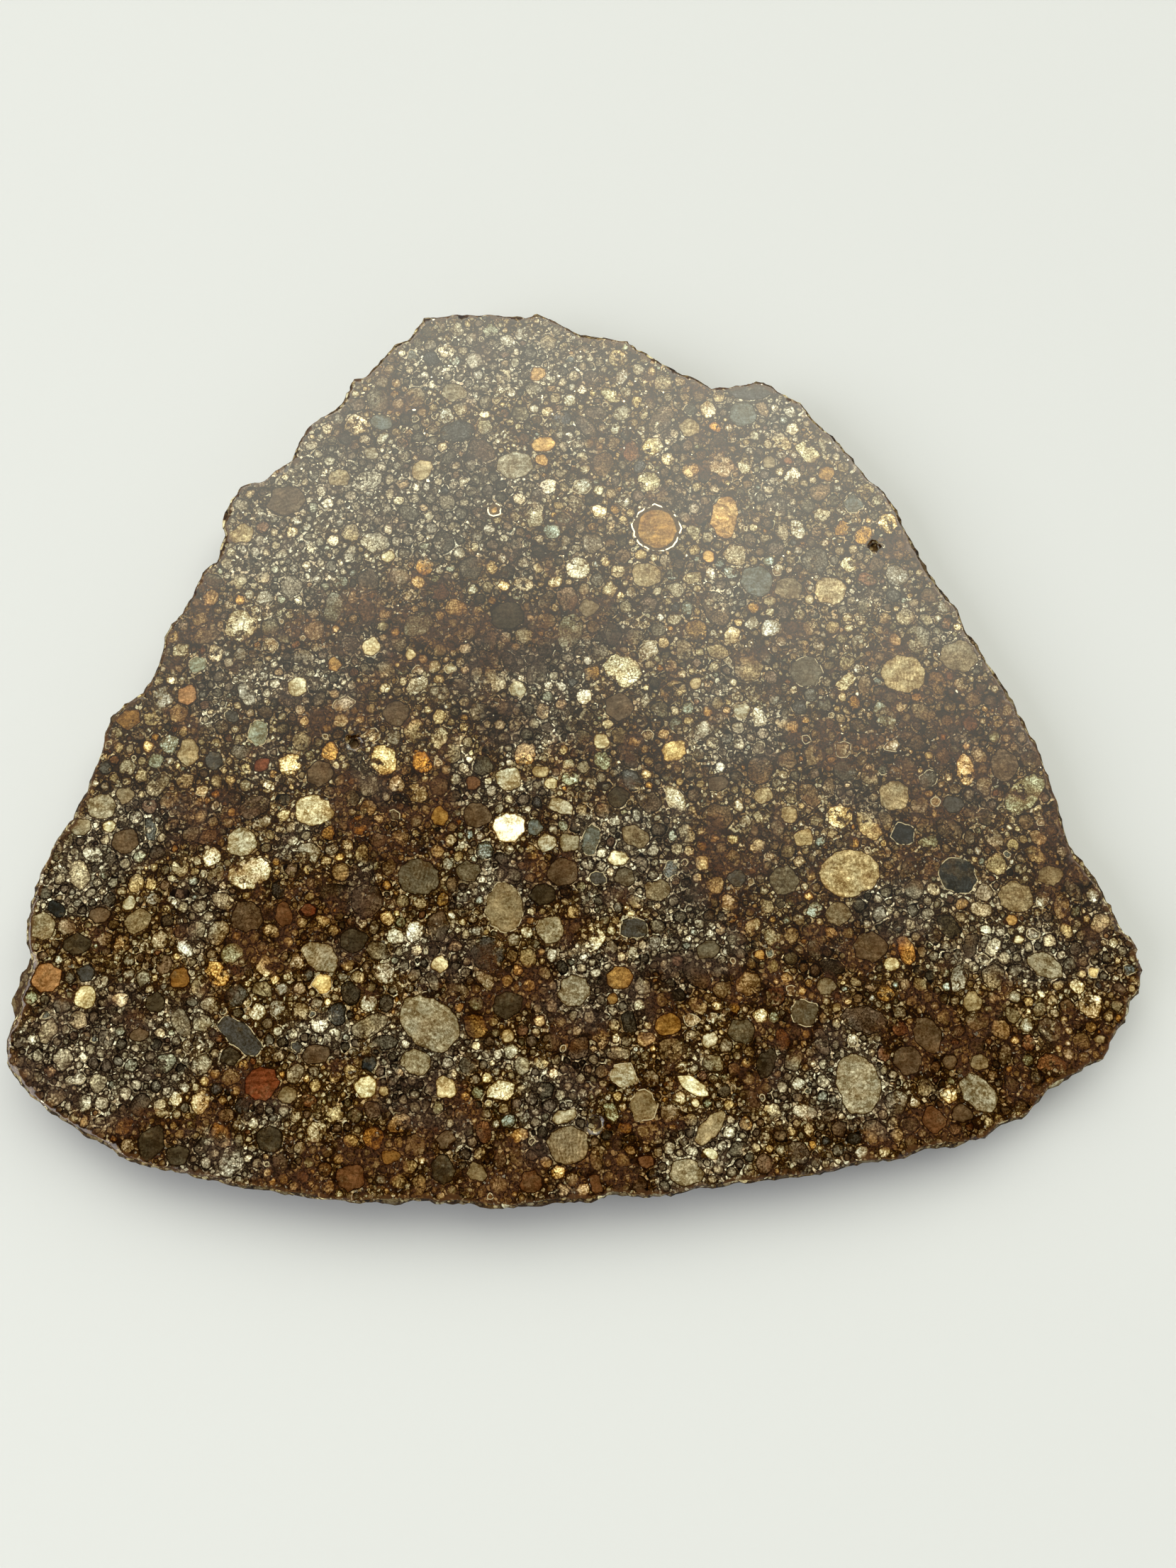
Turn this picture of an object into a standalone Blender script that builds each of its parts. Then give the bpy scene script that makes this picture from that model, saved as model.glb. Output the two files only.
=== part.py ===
"""A cut and polished slice of a chondrite meteorite, lying on its flat sawn back.

The slice is one stone, so it is one solid. Its two faces are flat and parallel. The rim between
them is the stone's own broken and weathered outside: it undercuts the polished face, carries lumps
and short ledges, and has one spall at the left corner where a flake came off below the polish.

The frame is +Z up with the origin at the middle of the slice's box, on the back face. The polished
face looks up, +X is the stone's right and +Y runs towards its narrow, peaked end.
"""

import bmesh
import bpy
from math import ceil, exp
from mathutils import Vector, kdtree, noise

MM = 0.001

# Driving dimensions
THICKNESS = 4.0 * MM
EDGE_WEAR = 0.2 * MM
UNDERCUT = 0.7 * MM
BULGE_LIMIT = 0.3 * MM
LUMP_HEIGHT = 0.75 * MM
LUMP_SIZE = 2.3 * MM
LEDGE_DEPTH = 0.9 * MM
LEDGE_SPAN = 7.0 * MM
RIM_WANDER = 0.12 * MM
RIM_STEP = 0.75 * MM

# Heights of the rings round the rim, as shares of the thickness
RIM_LEVELS = (0.05, 0.2, 0.36, 0.52, 0.68, 0.82, 0.94)

# The spall at the left corner: how far it runs, how far in it reaches and how deep its floor lies
SPALL_MIDDLE = Vector((-36.4, -16.9)) * MM
SPALL_HALF_LENGTH = 2.5 * MM
SPALL_REACH = 1.25 * MM
SPALL_FLOOR = 0.82

# Seeds of the noise: where in the noise field the rim's wander, lumps and ledges are read
WANDER_SEED = Vector((3.1, 7.7, 0.4))
LUMP_SEED = Vector((12.5, 4.2, 9.6))
LEDGE_SEED = Vector((5.3, 1.8, 20.1))
LEAN_SEED = Vector((8.9, 15.4, 2.7))
WEAR_SEED = Vector((2.2, 30.5, 6.1))

# Corners of the outline in millimetres, clockwise seen from above
PEAK = [
    (-10.6, 29.9), (-6.5, 30.1), (-3.4, 30.0), (-2.6, 30.3), (-1.3, 29.6), (0.5, 28.6),
    (3.8, 28.1), (4.5, 27.5), (7.4, 25.8), (9.7, 24.6), (10.8, 24.6), (13.1, 25.0),
    (13.9, 24.7), (15.8, 23.4),
]
RIGHT_FLANK = [
    (17.1, 21.8), (18.1, 21.0), (19.4, 19.3), (20.0, 18.2), (21.6, 16.6), (22.2, 15.5),
    (23.0, 13.5), (24.0, 11.5), (25.2, 9.5), (26.0, 8.4), (26.5, 7.0), (28.2, 4.2),
    (28.9, 3.0), (30.3, 0.0), (30.8, -0.9), (32.0, -5.1), (32.1, -6.2), (32.5, -7.6),
    (33.6, -9.2), (35.4, -12.8),
]
RIGHT_CORNER = [
    (36.4, -14.4), (36.3, -14.9), (36.5, -15.7), (36.3, -16.9), (35.7, -17.7), (35.3, -19.0),
    (34.4, -20.0), (33.7, -21.3), (32.0, -22.2), (30.1, -23.2), (28.3, -25.0), (27.0, -25.3),
    (25.9, -26.1),
]
FOOT = [
    (24.0, -26.6), (22.2, -26.8), (20.8, -27.4), (17.5, -27.7), (15.2, -28.3), (10.1, -28.9),
    (5.5, -29.6), (2.8, -29.5), (1.2, -29.9), (-4.3, -30.3), (-9.2, -29.9), (-13.1, -30.0),
    (-18.5, -29.4), (-22.4, -28.7), (-27.0, -27.7), (-28.6, -27.1), (-29.5, -26.4),
]
LEFT_CORNER = [
    (-31.2, -25.6), (-34.2, -23.6), (-35.8, -21.5), (-36.3, -18.7), (-36.5, -17.5),
    (-36.1, -15.7), (-35.2, -14.7), (-35.3, -12.5), (-34.7, -9.5), (-33.7, -7.1),
    (-32.8, -5.9),
]
LEFT_FLANK = [
    (-31.4, -2.1), (-31.0, 0.2), (-30.6, 1.1), (-29.5, 2.2), (-28.7, 2.6), (-27.9, 4.2),
    (-27.4, 6.8), (-26.3, 8.5), (-25.1, 11.3), (-24.3, 11.8), (-23.8, 13.7), (-24.1, 14.4),
    (-23.6, 16.3), (-22.9, 17.2), (-21.1, 17.9), (-19.5, 19.2), (-19.0, 20.8), (-18.2, 21.9),
    (-16.3, 23.1), (-15.4, 25.2), (-14.5, 25.5), (-12.6, 27.8), (-11.7, 28.2),
]
OUTLINE = PEAK + RIGHT_FLANK + RIGHT_CORNER + FOOT + LEFT_CORNER + LEFT_FLANK

# Pits in the polished face where a grain fell out: x, y, width and depth in millimetres
FACE_PITS = [
    (1.3, -25.2, 0.9, 0.4),
    (-14.6, -0.9, 0.7, 0.3),
    (20.4, 12.8, 0.6, 0.25),
]

# Pits in the sawn back
BACK_PITS = [
    (14.0, -6.5, 1.2, 0.5),
    (-17.5, 9.0, 1.0, 0.4),
    (6.0, 19.5, 0.9, 0.4),
    (-9.0, -20.5, 1.3, 0.5),
]


def clear_scene():
    for existing in list(bpy.data.objects):
        bpy.data.objects.remove(existing, do_unlink=True)


def new_collection(name):
    collection = bpy.data.collections.new(name)
    bpy.context.scene.collection.children.link(collection)
    return collection


def stone_material():
    """The polished stone: dark brown-grey, half gloss."""
    material = bpy.data.materials.new("chondrite")
    material.use_nodes = True
    principled = material.node_tree.nodes["Principled BSDF"]
    principled.inputs["Base Color"].default_value = (0.17, 0.13, 0.10, 1.0)
    principled.inputs["Roughness"].default_value = 0.35
    principled.inputs["Metallic"].default_value = 0.0
    return material


def smooth_step(low, high, value):
    share = min(max((value - low) / (high - low), 0.0), 1.0)
    return share * share * (3.0 - 2.0 * share)


def noise_at(place, size, seed):
    """Smooth noise from about -1 to 1, read at a place for features of the given size."""
    return noise.noise(place / size + seed)


def rim_points():
    """The outline with points every RIM_STEP along it, and a small wander between the corners."""
    corners = [Vector(corner).to_3d() * MM for corner in OUTLINE]
    points = []
    for index, start in enumerate(corners):
        end = corners[(index + 1) % len(corners)]
        run = end - start
        outward = Vector((-run.y, run.x, 0.0)).normalized()
        count = ceil(run.length / RIM_STEP)
        for step in range(count):
            point = start + run * (step / count)
            if step:
                point += outward * RIM_WANDER * noise_at(point, 1.3 * MM, WANDER_SEED)
            points.append(point)
    return points


def flat_slab(points):
    """The outline filled and given the slice's thickness, standing on z = 0."""
    curve = bpy.data.curves.new("outline", "CURVE")
    curve.dimensions = "2D"
    curve.fill_mode = "BOTH"
    curve.extrude = THICKNESS / 2
    spline = curve.splines.new("POLY")
    spline.points.add(len(points) - 1)
    for spline_point, point in zip(spline.points, points):
        spline_point.co = (point.x, point.y, 0.0, 1.0)
    spline.use_cyclic_u = True
    outline = bpy.data.objects.new("outline", curve)
    bpy.context.scene.collection.objects.link(outline)
    bpy.context.view_layer.update()
    evaluated = outline.evaluated_get(bpy.context.evaluated_depsgraph_get())
    mesh = bpy.data.meshes.new_from_object(evaluated)
    bpy.data.objects.remove(outline, do_unlink=True)
    bpy.data.curves.remove(curve)
    slab = bmesh.new()
    slab.from_mesh(mesh)
    bpy.data.meshes.remove(mesh)
    bmesh.ops.remove_doubles(slab, verts=slab.verts, dist=0.00001)
    bmesh.ops.translate(slab, verts=slab.verts, vec=(0.0, 0.0, THICKNESS / 2))
    return slab


def cut_rings(slab):
    """Rings of edges round the rim, so that it can be shaped between the two faces."""
    for level in RIM_LEVELS:
        everything = slab.verts[:] + slab.edges[:] + slab.faces[:]
        bmesh.ops.bisect_plane(
            slab, geom=everything, dist=1e-7, plane_co=(0.0, 0.0, level * THICKNESS),
            plane_no=(0.0, 0.0, 1.0))


def outward_directions(points):
    """The outward direction at each rim point, from the neighbours two steps away."""
    directions = []
    for index in range(len(points)):
        run = points[(index + 2) % len(points)] - points[index - 2]
        directions.append(Vector((-run.y, run.x, 0.0)).normalized())
    return directions


def spall_setback(place, height):
    """How far the spall takes the rim in: all of its reach at the polish, none below its floor."""
    along = (place.to_2d() - SPALL_MIDDLE).length / SPALL_HALF_LENGTH
    reach = SPALL_REACH * exp(-along ** 4)
    return reach * smooth_step(SPALL_FLOOR - 0.12, SPALL_FLOOR + 0.04, height)


def rim_offset(place, height):
    """How far out of the outline the rim stands at a place and a height from 0 to 1."""
    below_polish = smooth_step(1.0, 0.6, height)
    level = Vector((place.x, place.y, height * THICKNESS))
    lean = 0.6 + 0.5 * noise_at(place, 11.0 * MM, LEAN_SEED)
    undercut = UNDERCUT * lean * (1.0 - height) ** 1.5
    lumps = LUMP_HEIGHT * noise_at(level, LUMP_SIZE, LUMP_SEED) * below_polish
    ledge_here = smooth_step(0.05, 0.3, noise_at(place, LEDGE_SPAN, LEDGE_SEED))
    ledge_level = 0.5 + 0.25 * noise_at(place, LEDGE_SPAN / 2, LEDGE_SEED)
    ledge = LEDGE_DEPTH * ledge_here * smooth_step(ledge_level + 0.1, ledge_level - 0.1, height)
    nearest_face = min(height, 1.0 - height)
    wear_here = 1.0 + noise_at(place, 3.0 * MM, WEAR_SEED)
    wear = EDGE_WEAR * wear_here * smooth_step(0.05, 0.0, nearest_face)
    standing = min(lumps - undercut - ledge, BULGE_LIMIT * below_polish)
    return standing - wear - spall_setback(place, height)


def shape_rim(slab, points):
    """Moves each rim point in along the outline's own direction by the offset for its height."""
    nearest = kdtree.KDTree(len(points))
    for index, point in enumerate(points):
        nearest.insert(point, index)
    nearest.balance()
    directions = outward_directions(points)
    for vertex in slab.verts:
        flat_place = Vector((vertex.co.x, vertex.co.y, 0.0))
        _, index, _ = nearest.find(flat_place)
        height = min(max(vertex.co.z / THICKNESS, 0.0), 1.0)
        vertex.co += directions[index] * rim_offset(flat_place, height)


def centre_on_origin(slab):
    """Puts the middle of the slice's box over the origin."""
    across = [vertex.co.x for vertex in slab.verts]
    along = [vertex.co.y for vertex in slab.verts]
    middle = Vector((min(across) + max(across), min(along) + max(along), 0.0)) / 2
    bmesh.ops.translate(slab, verts=slab.verts, vec=-middle)


def slice_object(collection):
    points = rim_points()
    slab = flat_slab(points)
    cut_rings(slab)
    shape_rim(slab, points)
    centre_on_origin(slab)
    bmesh.ops.recalc_face_normals(slab, faces=slab.faces)
    mesh = bpy.data.meshes.new("meteorite_slice")
    slab.to_mesh(mesh)
    slab.free()
    mesh.materials.append(stone_material())
    stone = bpy.data.objects.new("meteorite_slice", mesh)
    collection.objects.link(stone)
    return stone


def pit_cutter(name, place, face_height, collection):
    """A flattened ball whose middle lies on the face, so it cuts a shallow round pit."""
    x, y, width, depth = [value * MM for value in place]
    ball = bmesh.new()
    bmesh.ops.create_uvsphere(ball, u_segments=12, v_segments=8, radius=1.0)
    bmesh.ops.scale(ball, verts=ball.verts, vec=(width / 2, width / 2, depth))
    bmesh.ops.translate(ball, verts=ball.verts, vec=(x, y, face_height))
    mesh = bpy.data.meshes.new(name)
    ball.to_mesh(mesh)
    ball.free()
    cutter = bpy.data.objects.new(name, mesh)
    cutter.hide_render = True
    cutter.display_type = "WIRE"
    collection.objects.link(cutter)
    return cutter


def cut_pits(stone, cutters):
    """One Boolean cut for each pit, in the polished face and in the back."""
    faces = [("face_pit", FACE_PITS, THICKNESS), ("back_pit", BACK_PITS, 0.0)]
    for label, pits, face_height in faces:
        for number, place in enumerate(pits, start=1):
            name = f"{label}_{number}"
            cut = stone.modifiers.new(name, "BOOLEAN")
            cut.operation = "DIFFERENCE"
            cut.solver = "EXACT"
            cut.object = pit_cutter(name, place, face_height, cutters)


def main():
    clear_scene()
    parts = new_collection("chondrite meteorite slice")
    cutters = new_collection("cutters")
    stone = slice_object(parts)
    cut_pits(stone, cutters)


main()
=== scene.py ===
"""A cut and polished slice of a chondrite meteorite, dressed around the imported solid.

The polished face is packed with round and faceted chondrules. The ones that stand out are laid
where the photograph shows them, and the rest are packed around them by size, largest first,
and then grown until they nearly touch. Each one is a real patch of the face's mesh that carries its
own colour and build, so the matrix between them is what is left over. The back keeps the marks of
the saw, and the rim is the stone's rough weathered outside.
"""

from math import ceil, cos, floor, hypot, pi, radians, sin, sqrt, tau
from random import Random

import bmesh
import bpy
from bpy.props import (
    FloatProperty, FloatVectorProperty, IntProperty, PointerProperty,
)
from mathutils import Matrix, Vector, kdtree, noise
from mathutils.geometry import delaunay_2d_cdt


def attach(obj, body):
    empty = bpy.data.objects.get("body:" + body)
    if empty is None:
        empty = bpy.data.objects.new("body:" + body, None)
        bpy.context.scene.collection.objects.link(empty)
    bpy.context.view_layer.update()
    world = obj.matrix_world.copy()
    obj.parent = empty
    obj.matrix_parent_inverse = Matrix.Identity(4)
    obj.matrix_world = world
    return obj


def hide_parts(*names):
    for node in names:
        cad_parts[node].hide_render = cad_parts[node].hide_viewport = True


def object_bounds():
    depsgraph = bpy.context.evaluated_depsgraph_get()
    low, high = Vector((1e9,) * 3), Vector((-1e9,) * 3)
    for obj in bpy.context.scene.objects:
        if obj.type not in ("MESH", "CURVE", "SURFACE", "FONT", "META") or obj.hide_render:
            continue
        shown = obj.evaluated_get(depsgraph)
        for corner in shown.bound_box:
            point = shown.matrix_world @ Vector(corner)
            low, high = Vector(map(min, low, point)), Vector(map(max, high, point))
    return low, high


bl_info = {
    "name": "Chondrite Slice",
    "version": (1, 0, 0),
    "blender": (4, 5, 0),
    "location": "View3D > Sidebar > Meteorite",
    "description": "Builds the looks of a polished chondrite slice: chondrules, sawn back and rim",
    "category": "Add Mesh",
}

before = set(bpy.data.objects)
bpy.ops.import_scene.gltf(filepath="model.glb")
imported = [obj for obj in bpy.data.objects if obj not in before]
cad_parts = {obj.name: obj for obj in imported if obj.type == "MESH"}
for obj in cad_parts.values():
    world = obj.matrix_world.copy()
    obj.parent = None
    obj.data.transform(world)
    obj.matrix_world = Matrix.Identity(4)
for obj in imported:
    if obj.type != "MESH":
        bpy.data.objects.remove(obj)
CAD_LOW, CAD_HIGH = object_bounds()
NODE = "meteorite_slice"
THICKNESS = CAD_HIGH.z

MM = 0.001
TINY = 0.001 * MM

# Which of the piece's materials the back and the rim have, after the polished face's
BACK_SLOT = 1
RIM_SLOT = 2

# The photograph's frame and how its camera stood over the slice
PHOTO_WIDTH = 1659
PHOTO_HEIGHT = 2212
FOCAL_PIXELS = 1661.0
CAMERA_TILT = radians(9.8)
CAMERA_PLACE = Vector((0.9, -16.8, 76.3)) * MM + Vector((0.0, 0.0, THICKNESS))
SENSOR = 36.0

# Colours of the chondrules, as linear values
COLOURS = {
    "white": (0.88, 0.85, 0.62),
    "ivory": (0.55, 0.515, 0.315),
    "cream": (0.52, 0.45, 0.25),
    "peach": (0.62, 0.47, 0.19),
    "bright orange": (0.42, 0.25, 0.075),
    "orange": (0.28, 0.152, 0.034),
    "copper": (0.235, 0.118, 0.042),
    "amber": (0.222, 0.120, 0.025),
    "sienna": (0.15, 0.070, 0.014),
    "gold": (0.32, 0.245, 0.115),
    "tan": (0.25, 0.190, 0.090),
    "grey tan": (0.225, 0.190, 0.112),
    "pale grey": (0.37, 0.335, 0.215),
    "sage": (0.19, 0.20, 0.135),
    "olive": (0.163, 0.122, 0.060),
    "grey green": (0.085, 0.066, 0.035),
    "brown": (0.078, 0.048, 0.022),
    "dark brown": (0.032, 0.022, 0.010),
    "rust": (0.088, 0.038, 0.013),
    "red": (0.125, 0.034, 0.011),
    "slate": (0.043, 0.038, 0.029),
    "blue grey": (0.088, 0.092, 0.072),
    "black": (0.015, 0.015, 0.013),
}

# How a chondrule is built: share of bars, share of crystals, and what lies round it
# (0 nothing, 0.5 a pale outline, 1 a metal ring with a dark gap inside it)
SMOOTH = (0.0, 0.25, 0.0)
GRANULAR = (0.0, 0.9, 0.0)
BARRED = (1.0, 0.4, 0.0)
OUTLINED = (0.0, 0.35, 0.5)
BARRED_OUTLINED = (0.8, 0.3, 0.5)
RINGED = (0.0, 0.2, 1.0)

# The chondrules that stand out, read from the photograph in its own pixels:
# x, y, width, height, turn in degrees anticlockwise where it is turned, and build where it isn't
# smooth
LANDMARKS = {
    "white": [
        (718, 1167, 44, 40, 10), (1052, 1008, 12, 10),
    ],
    "ivory": [
        (516, 1534, 34, 32), (120, 1406, 30, 32), (979, 1532, 48, 18, -32),
        (1002, 1627, 28, 16, -10), (873, 1211, 28, 22), (154, 1166, 22, 14, 20), (419, 970, 28, 26),
        (1437, 1325, 14, 14),
    ],
    "cream": [
        (442, 1143, 60, 48, -15, GRANULAR), (629, 1534, 28, 28), (523, 913, 24, 26),
        (777, 1105, 22, 20), (579, 923, 16, 18), (546, 786, 20, 18), (620, 1360, 26, 22, -20),
        (982, 1557, 12, 14), (848, 1046, 22, 20), (1257, 1360, 32, 30),
    ],
    "bright orange": [
        (1000, 786, 20, 18), (759, 527, 24, 20, 30), (766, 626, 32, 22, 5),
        (1022, 729, 40, 66, -8, GRANULAR), (1427, 1298, 20, 16), (697, 720, 20, 18, 0, RINGED),
        (1072, 1347, 16, 16), (765, 649, 20, 18, 0, GRANULAR),
    ],
    "orange": [
        (926, 745, 68, 68, 0, RINGED), (472, 937, 22, 22, 0, GRANULAR),
    ],
    "peach": [
        (455, 1387, 28, 26, 0, OUTLINED), (951, 1059, 38, 34, 20, GRANULAR),
        (1542, 1372, 16, 16, 0, OUTLINED),
    ],
    "copper": [
        (66, 1380, 54, 54), (264, 981, 26, 28),
    ],
    "amber": [
        (873, 1381, 40, 34, 0, GRANULAR), (620, 1152, 24, 28, -20),
        (941, 1445, 40, 28, 10, GRANULAR), (1166, 668, 26, 24, 0, GRANULAR), (864, 1409, 18, 18),
    ],
    "sienna": [
        (550, 1632, 26, 20, 20), (253, 1379, 28, 28), (182, 1014, 36, 30, 0, GRANULAR),
    ],
    "gold": [
        (1198, 1231, 86, 66, 8, GRANULAR), (595, 663, 30, 30), (1274, 951, 60, 54, 0, BARRED),
        (342, 753, 38, 28, 10, GRANULAR), (1134, 1181, 28, 26), (541, 1539, 22, 20),
        (1113, 1149, 24, 26), (1076, 1122, 30, 26, 20, GRANULAR), (1172, 833, 48, 42, 0, GRANULAR),
        (716, 1460, 18, 20), (981, 964, 18, 20, 20), (764, 1089, 24, 20),
    ],
    "tan": [
        (912, 811, 44, 40, 0, GRANULAR), (1002, 1591, 62, 26, 50), (266, 1062, 30, 40),
        (1261, 1122, 40, 46, -25, GRANULAR), (1372, 1413, 26, 26), (973, 603, 30, 26, 0, GRANULAR),
        (478, 674, 34, 26, 0, GRANULAR), (1551, 1466, 42, 16, -15),
    ],
    "grey tan": [
        (1210, 1529, 68, 94, 10, GRANULAR), (1380, 1542, 66, 44, -45, GRANULAR),
        (606, 1443, 104, 72, -35, GRANULAR), (587, 1498, 46, 36, -20, GRANULAR),
        (968, 1654, 56, 44, 0, GRANULAR), (811, 1398, 48, 46, 0, GRANULAR),
        (452, 1349, 58, 36, -32, BARRED), (804, 1189, 30, 26), (143, 1137, 44, 38, 0, GRANULAR),
        (115, 1167, 30, 26, 15), (640, 553, 36, 30, 0, GRANULAR),
        (1475, 1363, 48, 32, -30, GRANULAR), (776, 1311, 44, 40, 0, GRANULAR),
        (60, 1306, 34, 40, 0, GRANULAR), (726, 656, 54, 44, 0, GRANULAR),
        (524, 640, 22, 20, 0, GRANULAR),
    ],
    "pale grey": [
        (879, 1516, 36, 34, 0, OUTLINED), (791, 1137, 36, 22, -25),
        (718, 1098, 40, 34, 0, GRANULAR), (1046, 1002, 20, 20, 0, OUTLINED),
        (796, 1575, 40, 20, 15), (730, 972, 22, 24, 0, OUTLINED), (341, 1189, 44, 40, 0, GRANULAR),
        (771, 1189, 28, 26), (636, 942, 16, 14, 0, OUTLINED), (182, 1275, 24, 18, 30),
        (1002, 1467, 26, 22, 30),
    ],
    "sage": [
        (364, 1034, 28, 34, 0, OUTLINED), (280, 938, 24, 24, 20, OUTLINED),
    ],
    "olive": [
        (711, 1280, 56, 72, 5, OUTLINED), (1353, 926, 56, 44, 0, GRANULAR), (1481, 1235, 36, 30),
        (907, 1561, 42, 44, 20, OUTLINED), (195, 1300, 44, 34, 30, GRANULAR), (177, 1122, 26, 24),
        (404, 1546, 34, 30), (1166, 1392, 26, 26), (927, 1257, 36, 30, 0, GRANULAR),
        (896, 1180, 44, 30, -30, GRANULAR), (1182, 1290, 40, 34, 0, GRANULAR),
        (1112, 830, 42, 38, 0, GRANULAR), (802, 1616, 58, 54, 0, BARRED), (830, 857, 28, 28),
        (1433, 1265, 52, 46, 0, GRANULAR), (1382, 1498, 28, 24), (673, 1654, 30, 24, -20),
        (1085, 653, 20, 20),
    ],
    "grey green": [
        (590, 1237, 62, 54, -15, BARRED), (1134, 1429, 40, 38, 0, OUTLINED),
        (1106, 1242, 46, 44, 0, GRANULAR), (660, 1230, 34, 30, 0, GRANULAR),
        (1046, 1455, 40, 34, 0, GRANULAR), (881, 1236, 28, 26, 0, GRANULAR),
        (1000, 1340, 36, 26, 10), (1137, 948, 46, 44, 0, OUTLINED),
    ],
    "brown": [
        (348, 1293, 44, 44, 0, GRANULAR), (452, 1091, 40, 38), (177, 1186, 40, 36),
        (1281, 1495, 44, 42), (1281, 1140, 30, 26), (793, 1230, 44, 40, 20), (1357, 1571, 28, 26),
        (673, 1150, 42, 40), (140, 1290, 30, 24), (447, 1487, 40, 30, 0, GRANULAR),
        (1309, 1460, 40, 54, 20), (1417, 1080, 40, 50, 0, GRANULAR), (874, 998, 44, 40),
        (559, 1006, 42, 40), (196, 1460, 26, 22), (1013, 1105, 30, 24), (1340, 1498, 24, 20),
        (629, 1606, 30, 24, 30), (1229, 1336, 52, 46), (404, 706, 56, 46, 20),
    ],
    "dark brown": [
        (766, 1262, 40, 34), (109, 1332, 42, 30), (625, 1652, 36, 40), (219, 1414, 30, 26, 30),
        (250, 1629, 34, 26), (871, 1125, 30, 26), (716, 868, 48, 40), (380, 1607, 38, 38),
        (214, 1612, 36, 46, -15), (716, 1418, 46, 36, 20), (325, 1490, 28, 26, 0, GRANULAR),
        (1082, 1500, 26, 44, -20, GRANULAR), (498, 1327, 38, 34),
    ],
    "rust": [
        (1317, 1579, 32, 34, 20), (495, 1661, 44, 40), (841, 1671, 22, 38, 10), (750, 1668, 32, 30),
        (668, 1104, 24, 20), (400, 1290, 24, 40), (911, 1639, 22, 20),
    ],
    "red": [
        (369, 1529, 52, 48, 10), (435, 1284, 22, 20), (369, 1079, 24, 22),
    ],
    "slate": [
        (339, 1462, 76, 32, -38, OUTLINED), (121, 1373, 26, 24), (1345, 1135, 30, 22),
        (302, 1073, 28, 28), (1040, 1240, 24, 22), (844, 1239, 20, 20, 0, OUTLINED),
        (895, 1309, 38, 28, 0, OUTLINED), (419, 1477, 16, 16, 0, OUTLINED),
        (327, 1010, 18, 18, 0, OUTLINED), (1060, 553, 56, 20),
    ],
    "blue grey": [
        (834, 1186, 24, 46, -20, OUTLINED), (1068, 820, 44, 44), (1048, 585, 40, 34),
        (755, 1167, 22, 26), (539, 596, 34, 24, -20), (1186, 645, 30, 28, 0, OUTLINED),
        (1203, 712, 26, 26, 0, OUTLINED),
    ],
    "black": [
        (80, 1282, 30, 22, -25), (521, 1500, 24, 22), (1351, 1235, 58, 54, 0, BARRED_OUTLINED),
        (1274, 1177, 32, 32, 0, OUTLINED),
    ],
}

# What the packed chondrules are made of: colour, build and weight in the draw
KINDS = [
    ("ivory", SMOOTH, 1), ("cream", SMOOTH, 1), ("cream", GRANULAR, 2),
    ("pale grey", GRANULAR, 9), ("pale grey", SMOOTH, 4), ("pale grey", OUTLINED, 2),
    ("grey tan", GRANULAR, 14), ("grey tan", SMOOTH, 8), ("tan", GRANULAR, 10),
    ("tan", SMOOTH, 5), ("tan", BARRED, 1), ("gold", GRANULAR, 3), ("gold", SMOOTH, 1),
    ("sage", GRANULAR, 5), ("olive", GRANULAR, 11), ("olive", SMOOTH, 6), ("olive", BARRED, 2),
    ("grey green", GRANULAR, 6), ("grey green", SMOOTH, 4), ("brown", SMOOTH, 8),
    ("brown", GRANULAR, 8), ("dark brown", SMOOTH, 3), ("rust", SMOOTH, 2.5),
    ("amber", GRANULAR, 3), ("orange", SMOOTH, 1), ("peach", SMOOTH, 0.5),
    ("slate", SMOOTH, 1.5), ("blue grey", OUTLINED, 0.8),
]

# Packed chondrules: smallest and largest width in millimetres, and how many places are tried
SIZES = [(1.6, 2.2, 50), (1.2, 1.6, 400), (0.9, 1.2, 2000), (0.65, 0.9, 9000)]

# The small ones that fill the room left: least and most radius, and how many places are tried
FILL_RADII = (0.145 * MM, 0.32 * MM)
FILL_TRIES = 52000

# Where the stone is darker and browner: x, y, width and height in the photograph's pixels
BROWN_ZONES = [
    (640, 890, 440, 130), (560, 1150, 190, 150), (710, 1010, 70, 100), (770, 1240, 110, 90),
    (410, 1300, 240, 110), (360, 1530, 110, 90), (600, 1580, 190, 130),
    (480, 1650, 220, 80), (215, 1610, 120, 80), (65, 1530, 100, 80), (720, 1645, 240, 110),
    (870, 1650, 120, 70), (700, 1400, 200, 100), (980, 1385, 320, 70), (1010, 1230, 120, 130),
    (1200, 1335, 170, 80), (1340, 1040, 280, 180), (1320, 1160, 130, 90), (1340, 1460, 180, 130),
    (1430, 1520, 90, 80), (1310, 1585, 200, 60), (830, 1490, 90, 110), (1080, 1500, 70, 90),
    (920, 1590, 90, 60), (1500, 1230, 80, 140), (1540, 1470, 110, 80), (290, 1150, 130, 90),
    (480, 1000, 170, 80), (1150, 1050, 200, 80), (1130, 1470, 110, 60), (1010, 640, 90, 90),
]

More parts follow.
